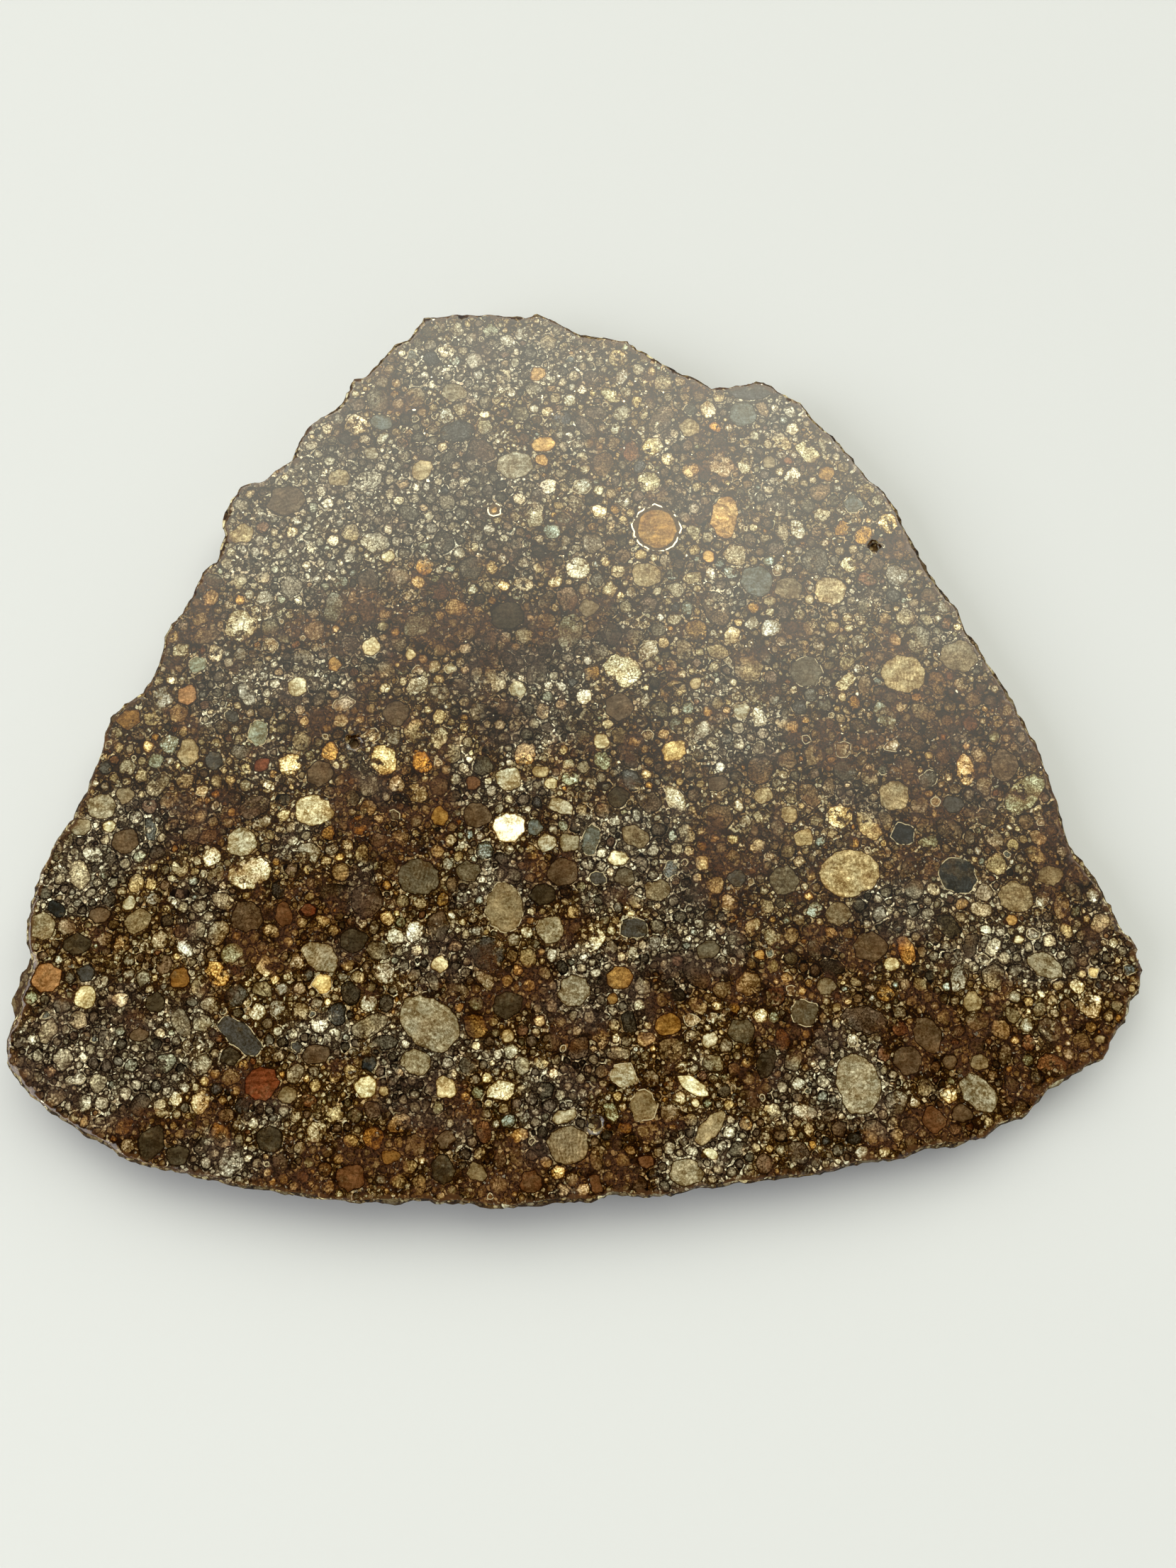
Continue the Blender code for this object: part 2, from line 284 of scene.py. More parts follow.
# Where it is paler and greyer
PALE_ZONES = [
    (160, 1170, 170, 140), (100, 1250, 110, 80), (140, 1480, 250, 160), (310, 1640, 150, 60),
    (590, 1480, 130, 170), (880, 1200, 160, 120), (940, 1260, 110, 90), (770, 980, 120, 190),
    (690, 1240, 110, 100), (830, 1400, 150, 110), (960, 1340, 160, 70), (790, 1570, 100, 140),
    (1000, 1620, 130, 90), (1210, 1530, 160, 130), (1270, 1280, 120, 80), (1450, 1340, 240, 90),
    (410, 960, 150, 90), (560, 700, 420, 160), (420, 800, 200, 120), (700, 520, 240, 100),
    (1100, 560, 160, 90), (610, 1350, 130, 70), (450, 1460, 110, 60), (1050, 1050, 120, 60),
]

# The zones' borders wander by two noises: how far, as a share of the zone, and their grain.
# Chance adds loose patches of another grain
BORDER_WANDER = ((0.5, 2.6 * MM), (0.35, 1.1 * MM))
LOOSE_GRAIN = 3.4 * MM

# What a corner of the mesh carries in place of a colour and build where it lies in the matrix
MATRIX_MARK = (0.0, 0.0, 0.0, 0.0)

# How much of the stone's brown clouds a landmark's colour already holds
LANDMARK_CLEAN = 0.8

# How much lighter or darker, in photographic stops, chance makes a landmark or a packed chondrule,
# and how much warmer or cooler for each stop
LANDMARK_SPREAD = 0.12
PACKED_SPREAD = 0.52
WARMTH_SPREAD = 0.18

# How much red, green and blue a chondrule loses where the stone is wholly brown
STAIN = (0.15, 0.28, 0.42)

# A landmark that doesn't fit is made smaller in steps of this share, up to so many times
SHRINK_SHARE = 0.95
SHRINK_STEPS = 9

# Packed chondrules are round or longer by up to this share, the longer the rarer
LONGEST_STRETCH = 0.8
STRETCH_RARITY = 2.5

# In the pale patches most chondrules wider than this are left out
COARSE_WIDTH = 0.8 * MM
COARSE_LEFT_OUT = 0.7

# How many points round an ellipse are tried against its neighbours
TRIED_POINTS = 10

# Corners of a chondrule's outline: the fewest, how many more for each millimetre, and the most
FEWEST_CORNERS = 6.0
CORNERS_BY_SIZE = 17
MOST_CORNERS = 36

# In how many steps a chondrule grows, and how deep its dents go as a share of its size
GROWTH_STEPS = 6
DENTS = (0.04, 0.24)

# The least room between a chondrule's outline and the edge of the polished face
RIM_ROOM = 0.07 * MM

# Grains that stand out of the rim: how many cells to a millimetre, their height as a share of
# the whole, and how wide they are in their cell
RIM_GRAINS = ((0.9, 0.75, 0.50), (2.3, 0.6, 0.45))

# An inner ring is never drawn in by more than this share of the way to the middle
DEEPEST_RING = 0.45

# The map for baking, as shares of its side: where the polish, the back and the rows of the rim
# start, and how wide they are
MAP_POLISH = 0.005
MAP_POLISH_WIDTH = 0.80
MAP_BACK = (0.82, 0.01)
MAP_BACK_WIDTH = 0.17
MAP_RIM = (0.01, 0.70)
MAP_RIM_WIDTH = 0.97
MAP_RIM_STEP = 0.095
MAP_RIM_HEIGHT = 0.08
MAP_RIM_ROWS = 3

# The saw stood this far to the left of the slice's middle, in millimetres
SAW_REACH = 90.0

# Edges that turn by more than this stay sharp
SHARP_ANGLE = radians(38)

# The stage: how far the floor lies below the slice, and the panel at the side
FLOOR_GAP = 0.02 * MM
PANEL_PLACE = (-0.75, -0.25, 0.60)
PANEL_SIDE = 0.70
PANEL_COLOUR = (1.0, 0.98, 0.95)
GLOW_COLOUR = (1.0, 0.985, 0.83)


def photo_scale(y):
    """Metres on the polish for one pixel across, in the photograph's row y."""
    up = (PHOTO_HEIGHT / 2 - y) / FOCAL_PIXELS
    height = CAMERA_PLACE.z - THICKNESS
    return height / (cos(CAMERA_TILT) - sin(CAMERA_TILT) * up) / FOCAL_PIXELS


def polish_place(x, y):
    """Where the camera's ray through a pixel of the photograph meets the polished face."""
    up = (PHOTO_HEIGHT / 2 - y) / FOCAL_PIXELS
    reach = photo_scale(y) * FOCAL_PIXELS
    across = (x - PHOTO_WIDTH / 2) * photo_scale(y)
    along = reach * (sin(CAMERA_TILT) + cos(CAMERA_TILT) * up)
    return Vector((CAMERA_PLACE.x + across, CAMERA_PLACE.y + along))


def smooth_step(low, high, value):
    share = min(max((value - low) / (high - low), 0.0), 1.0)
    return share * share * (3.0 - 2.0 * share)


class Chondrule:
    """An ellipse on the polished face: its middle, half axes and turn, its colour and its build."""

    def __init__(self, centre, width, height, turn, colour=None, build=SMOOTH):
        self.centre = centre
        self.half = (width / 2, height / 2)
        self.along = Vector((cos(turn), sin(turn)))
        self.across = Vector((-sin(turn), cos(turn)))
        self.colour = colour
        self.build = build
        self.clean = 0.0
        self.outline = []

    @property
    def reach(self):
        return max(self.half)

    @property
    def size(self):
        return sqrt(self.half[0] * self.half[1])

    def scale(self, factor):
        self.half = (self.half[0] * factor, self.half[1] * factor)

    def local(self, point):
        offset = point - self.centre
        return offset.dot(self.along), offset.dot(self.across)

    def distance(self, point):
        """About how far a point lies outside the ellipse; below zero inside it."""
        u, v = self.local(point)
        wide, high = self.half
        far = hypot(u / wide, v / high)
        if far == 0.0:
            return -min(self.half)
        return (far - 1.0) * far / hypot(u / wide / wide, v / high / high)

    def spoke(self, share):
        """From the middle to the ellipse, at a share of a whole turn."""
        angle = tau * share
        return self.along * self.half[0] * cos(angle) + self.across * self.half[1] * sin(angle)

    def points(self):
        """A few points of the ellipse, evenly round it."""
        return [self.centre + self.spoke(step / TRIED_POINTS) for step in range(TRIED_POINTS)]


class Outline:
    """The edge of the polished face, asked how far inside it a point lies."""

    def __init__(self, loop):
        self.points = [vertex.co.to_2d() for vertex in loop]
        self.tree = kdtree.KDTree(len(self.points))
        for index, point in enumerate(self.points):
            self.tree.insert(point.to_3d(), index)
        self.tree.balance()

    def nearest(self, place):
        """The number of the outline's point that lies nearest."""
        return self.tree.find((place.x, place.y, 0.0))[1]

    def inside(self, point):
        """How far inside the edge a point lies; below zero outside it."""
        nearest = self.nearest(point)
        found = []
        for index in range(nearest - 2, nearest + 2):
            start = self.points[index % len(self.points)]
            run = self.points[(index + 1) % len(self.points)] - start
            share = min(max((point - start).dot(run) / run.length_squared, 0.0), 1.0)
            off = point - start - run * share
            found.append((off.length, off.x * run.y - off.y * run.x))
        distance, outward = min(found)
        return -distance if outward > 0 else distance


class Packing:
    """The chondrules laid so far, found quickly by place."""

    def __init__(self, outline, gap, cell=1.0 * MM):
        self.outline = outline
        self.gap = gap
        self.cell = cell
        self.chondrules = []
        self.cells = {}

    def cells_round(self, centre, reach):
        left, right = floor((centre.x - reach) / self.cell), floor((centre.x + reach) / self.cell)
        low, high = floor((centre.y - reach) / self.cell), floor((centre.y + reach) / self.cell)
        return [(i, j) for i in range(left, right + 1) for j in range(low, high + 1)]

    def near(self, centre, reach):
        found = {}
        for cell in self.cells_round(centre, reach):
            for other in self.cells.get(cell, ()):
                found[id(other)] = other
        return list(found.values())

    def fits(self, chondrule):
        inside = self.outline.inside(chondrule.centre)
        if inside < min(chondrule.half) + self.gap:
            return False
        if inside < chondrule.reach + self.gap:
            if min(self.outline.inside(point) for point in chondrule.points()) < self.gap:
                return False
        close = []
        for other in self.near(chondrule.centre, chondrule.reach + self.gap):
            apart = (other.centre - chondrule.centre).length
            if apart < min(other.half) + min(chondrule.half) + self.gap:
                return False
            if apart < other.reach + chondrule.reach + self.gap:
                close.append(other)
        for other in close:
            if min(other.distance(point) for point in chondrule.points()) < self.gap:
                return False
            if min(chondrule.distance(point) for point in other.points()) < self.gap:
                return False
        return True

    def room(self, centre, most):
        """The radius that a round chondrule can have here, up to the most that is asked for."""
        radius = min(most, self.outline.inside(centre) - self.gap)
        for other in self.near(centre, most + self.gap):
            radius = min(radius, other.distance(centre) - self.gap)
            if radius <= 0.0:
                break
        return radius

    def add(self, chondrule):
        self.chondrules.append(chondrule)
        for cell in self.cells_round(chondrule.centre, chondrule.reach):
            self.cells.setdefault(cell, []).append(chondrule)


class Zones:
    """Parts of the face with a wandering border, read once on a fine grid and then looked up."""

    def __init__(self, zones, seed, cell=0.6 * MM):
        self.ellipses = []
        for x, y, width, height in zones:
            scale = photo_scale(y)
            self.ellipses.append((polish_place(x, y), width / 2 * scale, height / 2 * scale))
        self.seed = Vector((seed, 2.3 * seed, 0.7 * seed))
        self.cell = cell
        self.table = {}

    def share(self, place):
        """How deep a place lies in any of the zones, from 0 to 1."""
        deep = 0.0
        wander = sum(
            far * noise.noise(place.to_3d() / grain + self.seed) for far, grain in BORDER_WANDER)
        for middle, wide, high in self.ellipses:
            off = place - middle
            far = hypot(off.x / wide, off.y / high)
            deep = max(deep, smooth_step(1.35, 0.65, far + wander))
        loose = noise.noise(place.to_3d() / LOOSE_GRAIN + self.seed * 2.0)
        return max(deep, 0.8 * smooth_step(0.18, 0.45, loose + 0.3 * wander))

    def at(self, place):
        key = (round(place.x / self.cell), round(place.y / self.cell))
        if key not in self.table:
            self.table[key] = self.share(Vector(key) * self.cell)
        return self.table[key]


def varied(colour, random, spread):
    """A colour made lighter or darker, and a little warmer or cooler, by chance."""
    light = 2.0 ** random.uniform(-spread, spread)
    warm = random.uniform(-WARMTH_SPREAD, WARMTH_SPREAD) * spread
    red, green, blue = colour
    return (red * light * (1 + 0.5 * warm), green * light, blue * light * (1 - 2 * warm))


def landmark(colour, x, y, width, height, turn=0, build=SMOOTH):
    """A chondrule that stands out, from its place and size in the photograph's pixels."""
    scale = photo_scale(y)
    chondrule = Chondrule(
        polish_place(x, y), width * scale, height * scale, radians(turn), colour, build)
    chondrule.clean = LANDMARK_CLEAN
    return chondrule


def lay_landmarks(packing, random):
    """The chondrules that stand out, the largest first, each where the photograph shows it."""
    landmarks = [(colour, place) for colour, places in LANDMARKS.items() for place in places]
    landmarks.sort(key=lambda entry: -entry[1][2] * entry[1][3])
    for colour, place in landmarks:
        chondrule = landmark(varied(COLOURS[colour], random, LANDMARK_SPREAD), *place)
        near = packing.near(chondrule.centre, chondrule.reach)
        if all(other.distance(chondrule.centre) > 0 for other in near):
            shrink_to_fit(packing, chondrule)


def shrink_to_fit(packing, chondrule):
    """Lays a chondrule, up to a third smaller where its neighbours or the rim need it."""
    for _ in range(SHRINK_STEPS):
        if packing.fits(chondrule):
            packing.add(chondrule)
            return
        chondrule.scale(SHRINK_SHARE)


def drawn_kind(random, total, brown, pale):
    """A colour and build drawn by weight, and stained where the stone is brown."""
    kind = random.uniform(0, total)
    for name, build, weight in KINDS:
        kind -= weight
        if kind <= 0:
            break
    colour = varied(COLOURS[name], random, PACKED_SPREAD)
    stain = brown * random.uniform(0.2, 1.0)
    tint = [1.0 - part * stain for part in STAIN]
    fade = 1.0 + 0.10 * pale
    colour = tuple(min(part * share * fade, 0.9) for part, share in zip(colour, tint))
    bars, crystals, ring = build
    return colour, (bars, crystals * random.uniform(0.4, 1.1), ring)


def pack_sizes(packing, random, brown, pale):
    """The rest of the chondrules, packed by chance, the largest sizes first."""
    total = sum(weight for _, _, weight in KINDS)
    for smallest, largest, tries in SIZES:
        for _ in range(tries):
            centre = random_place(random)
            width = random.uniform(smallest, largest) * MM
            stretch = 1.0 + LONGEST_STRETCH * random.random() ** STRETCH_RARITY
            chondrule = Chondrule(centre, width * stretch, width, random.uniform(0, pi))
            coarse = width > COARSE_WIDTH and pale.at(centre) > 0.5
            if coarse and random.random() < COARSE_LEFT_OUT:
                continue
            if packing.fits(chondrule):
                chondrule.colour, chondrule.build = drawn_kind(
                    random, total, brown.at(centre), pale.at(centre))
                packing.add(chondrule)
    least, most = FILL_RADII
    for _ in range(FILL_TRIES):
        centre = random_place(random)
        radius = packing.room(centre, most)
        if radius < least:
            continue
        chondrule = Chondrule(centre, 2 * radius, 2 * radius, random.uniform(0, pi))
        chondrule.colour, chondrule.build = drawn_kind(
            random, total, brown.at(centre), pale.at(centre))
        packing.add(chondrule)


def random_place(random):
    return Vector((random.uniform(CAD_LOW.x, CAD_HIGH.x), random.uniform(CAD_LOW.y, CAD_HIGH.y)))


def grow(packing, chondrule, random, growth, longest):
    """The chondrule's outline: every spoke runs on until it meets a neighbour halfway."""
    count = min(ceil(FEWEST_CORNERS + chondrule.size / MM * CORNERS_BY_SIZE), MOST_CORNERS)
    limit = min(growth, longest / chondrule.size)
    near = packing.near(chondrule.centre, chondrule.reach * (1 + limit) + packing.gap)
    near.remove(chondrule)
    edge = packing.outline.inside(chondrule.centre) - chondrule.reach * (1 + limit)
    seed = chondrule.centre.to_3d() / (0.7 * MM)
    dented = random.uniform(*DENTS)
    for index in range(count):
        spoke = chondrule.spoke((index + random.uniform(-0.25, 0.25)) / count)
        share = 1.0
        for step in range(1, GROWTH_STEPS + 1):
            wider = 1.0 + limit * step / GROWTH_STEPS
            point = chondrule.centre + spoke * wider
            room = chondrule.distance(point) + packing.gap
            if any(other.distance(point) < room for other in near):
                break
            if edge < packing.gap and packing.outline.inside(point) < packing.gap:
                break
            share = wider
        dent = 0.5 + 0.5 * noise.noise(seed + spoke.to_3d() * 1.6 / chondrule.size)
        point = chondrule.centre + spoke * share * (1.0 - dented * dent)
        while edge < RIM_ROOM and packing.outline.inside(point) < RIM_ROOM:
            point = chondrule.centre.lerp(point, 0.9)
        chondrule.outline.append(point)


def packed_chondrules(outline, pits, settings, brown, pale):
    """All the chondrules of the polished face, laid clear of the open pits and then grown."""
    random = Random(settings.seed)
    packing = Packing(outline, settings.gap)
    for pit in pits:
        middle = sum((vertex.co.to_2d() for vertex in pit), Vector((0, 0))) / len(pit)
        width = 2.0 * max((vertex.co.to_2d() - middle).length for vertex in pit)
        packing.add(Chondrule(middle, width, width, 0.0))
    lay_landmarks(packing, random)
    pack_sizes(packing, random, brown, pale)
    chondrules = packing.chondrules[len(pits):]
    for chondrule in chondrules:
        grow(packing, chondrule, random, settings.growth, settings.longest_growth)
    return chondrules


def boundary_loops(mesh):
    """The open edges of a mesh, walked into rings of vertices, the longest ring first."""
    open_edges = {edge for edge in mesh.edges if len(edge.link_faces) == 1}
    loops = []
    while open_edges:
        edge = min(open_edges, key=lambda found: found.index)
        open_edges.discard(edge)
        loop = [edge.verts[0], edge.verts[1]]
        while loop[-1] is not loop[0]:
            edge = next(found for found in loop[-1].link_edges if found in open_edges)
            open_edges.discard(edge)
            loop.append(edge.other_vert(loop[-1]))
        loops.append(loop[:-1])
    loops.sort(key=len, reverse=True)
    return loops


def anticlockwise(loop):
    """The ring of vertices in the order that turns left round its inside, seen from above."""
    turned = sum(
        a.co.x * b.co.y - b.co.x * a.co.y for a, b in zip(loop, loop[1:] + loop[:1]))
    return loop if turned > 0 else loop[::-1]


def on_level(face, height):
    return all(abs(vertex.co.z - height) < TINY for vertex in face.verts)


def open_stone():
    """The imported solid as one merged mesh, with its two flat faces taken off."""
    stone = bmesh.new()
    stone.from_mesh(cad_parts[NODE].data)
    bmesh.ops.remove_doubles(stone, verts=stone.verts, dist=TINY)
    flat = [face for face in stone.faces if on_level(face, THICKNESS) or on_level(face, 0.0)]
    bmesh.ops.delete(stone, geom=flat, context="FACES")
    return stone


def roughen_rim(stone, cuts, grain_height):
    """Cuts the rim finer and lets its chondrules stand out of it."""
    bmesh.ops.subdivide_edges(stone, edges=stone.edges[:], cuts=cuts, use_grid_fill=True)
    bmesh.ops.triangulate(stone, faces=[face for face in stone.faces if len(face.verts) > 3])
    stone.normal_update()
    for vertex in stone.verts:
        place = vertex.co / MM
        proud = 0.0
        for cells, share, width in RIM_GRAINS:
            distances, _ = noise.voronoi(place * cells)
            proud += share * (width - distances[0])
        proud += 0.35 * noise.noise(place * 4.0)
        push = Vector((vertex.normal.x, vertex.normal.y, 0.0))
        if push.length < 0.3:
            continue
        edge_share = smooth_step(0.0, 0.4, min(place.z, THICKNESS / MM - place.z))
        height = grain_height * (0.7 + 0.3 * edge_share)
        vertex.co += push.normalized() * height * proud
    stone.normal_update()


def fill_flat(stone, rings, holes, free, height, facing_up):
    """Fills the flat room inside the first ring of vertices. The rings after it are holes, up to
    their number, and the rest only cut the faces. Gives each face with the rings round it."""
    corners = [vertex for ring in rings for vertex in ring] + free
    points = [vertex.co.to_2d() / MM for vertex in corners]
    loops = []
    for ring in rings:
        first = loops[-1][-1] + 1 if loops else 0
        loops.append(list(range(first, first + len(ring))))
    found, _, triangles, sources, _, owners = delaunay_2d_cdt(points, [], loops, 1, 1e-5)
    known = {}
    for index, source in enumerate(sources):
        if source:
            known[index] = corners[source[0]]
        else:
            known[index] = stone.verts.new((*(found[index] * MM), height))
    faces = []
    for triangle, owner in zip(triangles, owners):
        if any(0 < ring <= holes for ring in owner):
            continue
        order = triangle if facing_up else triangle[::-1]
        faces.append((stone.faces.new([known[index] for index in order]), owner))
    unused = [vertex for vertex in corners if not vertex.link_faces]
    bmesh.ops.delete(stone, geom=unused, context="VERTS")
    return faces


def inner_ring(chondrule, depth):
    """The chondrule's outline drawn in by a depth, but never past the middle."""
    ring = []
    for point in chondrule.outline:
        spoke = chondrule.centre - point
        ring.append(point + spoke * min(depth / spoke.length, DEEPEST_RING))
    return ring


class PolishedFace:
    """Fills the open polished face in one piece, cut along the outline of every chondrule."""

    def __init__(self, stone, loops, chondrules):
        self.stone = stone
        self.loops = loops
        self.chondrules = chondrules
        self.colour = stone.loops.layers.float_color.new("chondrule")
        self.build = stone.loops.layers.float_color.new("build")
        self.place = stone.loops.layers.float_vector.new("place")
        self.depths = {}

    def vertex(self, place, depth=0.0):
        vertex = self.stone.verts.new((place.x, place.y, THICKNESS))
        self.depths[vertex] = depth
        return vertex

    def fill(self, ring_depth, ring_size):
        rings = list(self.loops)
        owned = [None] * len(rings)
        middles = []
        for chondrule in self.chondrules:
            rings.append([self.vertex(point) for point in chondrule.outline])
            owned.append(chondrule)
            middles.append(self.vertex(chondrule.centre, chondrule.size))
            if chondrule.size > ring_size or chondrule.build[2] > 0.0:
                inner = inner_ring(chondrule, ring_depth)
                rings.append([
                    self.vertex(point, (point - outer).length)
                    for point, outer in zip(inner, chondrule.outline)])
                owned.append(chondrule)
        holes = len(self.loops) - 1
        for face, round_it in fill_flat(self.stone, rings, holes, middles, THICKNESS, True):
            within = [owned[ring] for ring in round_it if owned[ring]]
            self.paint(face, within[0] if within else None)

    def paint(self, face, chondrule):
        """Gives the corners of a face the colour and build of its chondrule, or of the matrix."""
        for corner in face.loops:
            if chondrule is None:
                corner[self.colour] = MATRIX_MARK
                corner[self.build] = MATRIX_MARK
                continue
            u, v = chondrule.local(corner.vert.co.to_2d())
            corner[self.colour] = (*chondrule.colour, 1.0)
            corner[self.build] = (*chondrule.build, chondrule.clean)
            corner[self.place] = Vector((u, v, self.depths.get(corner.vert, 0.0))) / MM


def write_zones(stone, outline, brown, pale):
    """Writes on every vertex how brown and how pale the stone is, and how near the rim."""
    zone = stone.verts.layers.float_vector.new("zone")
    for vertex in stone.verts:
        place = vertex.co.to_2d()
        inside = outline.inside(place) / MM if vertex.co.z > THICKNESS - TINY else 0.0
        vertex[zone] = (brown.at(place), pale.at(place), max(inside, 0.0))


def write_bake_map(stone, outline):
    """A flat map for baking: the polish first and large, the rim in rows above, the back small."""
    layer = stone.loops.layers.uv.new("OFBake")
    span = CAD_HIGH - CAD_LOW
    polish_scale = MAP_POLISH_WIDTH / span.x
    back_scale = MAP_BACK_WIDTH / span.y
    runs = [0.0]
    for a, b in zip(outline.points, outline.points[1:]):
        runs.append(runs[-1] + (b - a).length)
    for face in stone.faces:
        if not (on_level(face, THICKNESS) or on_level(face, 0.0)):
            map_rim_face(face, layer, outline, runs)
            continue
        for corner in face.loops:
            off = corner.vert.co - CAD_LOW
            if on_level(face, THICKNESS):
                place = (MAP_POLISH + off.x * polish_scale, MAP_POLISH + off.y * polish_scale)
            else:
                place = (MAP_BACK[0] + off.y * back_scale, MAP_BACK[1] + off.x * back_scale)
            corner[layer].uv = place


def map_rim_face(face, layer, outline, runs):
    """Lays a face of the rim in its row of the map, by how far round the outline it stands."""
    row_length = runs[-1] / MAP_RIM_ROWS
    middle = runs[outline.nearest(face.calc_center_median())]
    row = min(int(middle / row_length), MAP_RIM_ROWS - 1)
    for corner in face.loops:
        run = runs[outline.nearest(corner.vert.co)]
        if abs(run - middle) > row_length / 2:
            run = middle
        u = MAP_RIM[0] + MAP_RIM_WIDTH * (run / row_length - row)
        v = MAP_RIM[1] + MAP_RIM_STEP * row + MAP_RIM_HEIGHT * corner.vert.co.z / THICKNESS
        corner[layer].uv = (min(max(u, 0.0), 1.0), v)


class Value:
    """A socket in a shader. Arithmetic on it adds Math nodes."""

    def __init__(self, shader, socket):
        self.shader = shader
        self.socket = socket

    def math(self, operation, *others):
        return self.shader.math(operation, self, *others)

    def __add__(self, other):
        return self.math("ADD", other)

    __radd__ = __add__

    def __mul__(self, other):
        return self.math("MULTIPLY", other)

    __rmul__ = __mul__

    def __sub__(self, other):
        return self.math("SUBTRACT", other)

    def __rsub__(self, other):
        return self.shader.math("SUBTRACT", other, self)


class Shader:
    """The nodes of a material or world, with one method for any node and short ones for the
    common kinds."""

    def __init__(self, owner, surface="Principled BSDF"):
        owner.use_nodes = True
        self.owner = owner
        self.tree = owner.node_tree
        self.surface = self.tree.nodes[surface]

    def feed(self, socket, value):
        if isinstance(value, Value):
            self.tree.links.new(value.socket, socket)
        elif socket.type == "RGBA" and len(value) == 3:
            socket.default_value = (*value, 1.0)
        else:
            socket.default_value = value

    def node(self, kind, settings=None, values=None, output=0):
        """Adds a node: its settings first, then the values or links of its sockets."""
        node = self.tree.nodes.new(kind)
        for name, setting in (settings or {}).items():
            if name == "stops":
                self.set_stops(node.color_ramp, setting)
            else:
                setattr(node, name, setting)
        for name, value in (values or {}).items():
            self.feed(node.inputs[name], value)
        return Value(self, node.outputs[output])

    @staticmethod
    def set_stops(ramp, stops):
        while len(ramp.elements) > 1:
            ramp.elements.remove(ramp.elements[-1])
        for index, (position, colour) in enumerate(stops):
            stop = ramp.elements[0] if index == 0 else ramp.elements.new(position)
            stop.position = position
            stop.color = (*colour, 1.0)

    def output(self, value, name):
        """Another output of the node that a value comes from."""
        return Value(self, value.socket.node.outputs[name])

    def math(self, operation, *values):
        return self.node(
            "ShaderNodeMath", {"operation": operation}, dict(enumerate(values)))

    def vector(self, operation, first, second=None, scale=None):
        values = {0: first}
        if second is not None:
            values[1] = second
        if scale is not None:
            values["Scale"] = scale
        return self.node("ShaderNodeVectorMath", {"operation": operation}, values)

    def mix(self, share, first, second, blend="MIX"):
        return self.node(
            "ShaderNodeMix", {"data_type": "RGBA", "blend_type": blend},
            {0: share, 6: first, 7: second}, output=2)

    def blend(self, share, first, second):
        """One number turning into another."""
        return self.node("ShaderNodeMix", {"data_type": "FLOAT"}, {0: share, 2: first, 3: second})

    def step(self, value, low, high, to_low=0.0, to_high=1.0):
        """A smooth step from low to high, in either direction."""
        return self.node(
            "ShaderNodeMapRange", {"interpolation_type": "SMOOTHSTEP"},
            {"Value": value, "From Min": low, "From Max": high, "To Min": to_low, "To Max": to_high})

    def attribute(self, name, output):
        return self.node("ShaderNodeAttribute", {"attribute_name": name}, output=output)

    def parts(self, value):
        """The three parts of a vector."""
        x = self.node("ShaderNodeSeparateXYZ", None, {0: value})
        return x, self.output(x, "Y"), self.output(x, "Z")

    def together(self, x, y, z):
        return self.node("ShaderNodeCombineXYZ", None, {0: x, 1: y, 2: z})

    def millimetres(self):
        """The object's own coordinates, in millimetres."""
        place = self.node("ShaderNodeTexCoord", output="Object")
        return self.vector("SCALE", place, scale=1.0 / MM)

    def noise(self, place, scale, detail=2.0, roughness=0.5, output=0):
        return self.node(
            "ShaderNodeTexNoise", None,
            {"Vector": place, "Scale": scale, "Detail": detail, "Roughness": roughness}, output)

    def cells(self, place, scale, feature="F1", output=0):
        return self.node(
            "ShaderNodeTexVoronoi", {"feature": feature}, {"Vector": place, "Scale": scale}, output)

    def warped(self, place, scale, reach):
        """A place pushed about by noise, so that what is read there has a wandering edge."""
        push = self.noise(place, scale, detail=1.0, output=1)
        centred = self.vector("SUBTRACT", push, (0.5, 0.5, 0.5))
        return self.vector("ADD", place, self.vector("SCALE", centred, scale=2.0 * reach))

    def exposed(self, colour, stops):
        """A stone colour made lighter or darker by photographic stops. Dark stone turns browner."""
        below = stops.math("MINIMUM", 0.0)
        above = stops.math("MAXIMUM", 0.0)
        light = self.together(
            self.math("POWER", 2.0, below + above * 0.86),
            self.math("POWER", 2.0, below * 1.30 + above * 0.95),
            self.math("POWER", 2.0, below * 1.92 + above * 1.10))
        lit = self.vector("MULTIPLY", colour, light)
        return self.vector("MINIMUM", lit, (0.88, 0.86, 0.80))

    def bump(self, height, strength, distance):
        return self.node(
            "ShaderNodeBump", None,
            {"Height": height, "Strength": strength, "Distance": distance})


# Colours of the chondrules that the back and the rim show, along a ramp from 0 to 1
STONE_STOPS = [
    (0.00, COLOURS["dark brown"]), (0.10, COLOURS["brown"]), (0.28, COLOURS["olive"]),
    (0.42, COLOURS["grey green"]), (0.55, COLOURS["grey tan"]), (0.68, COLOURS["tan"]),
    (0.80, COLOURS["pale grey"]), (0.90, COLOURS["gold"]), (0.97, COLOURS["cream"]),
]


def stone_colour(shader, chance):
    """A chondrule's colour drawn by a number from 0 to 1."""
    return shader.node("ShaderNodeValToRGB", {"stops": STONE_STOPS}, {0: chance})


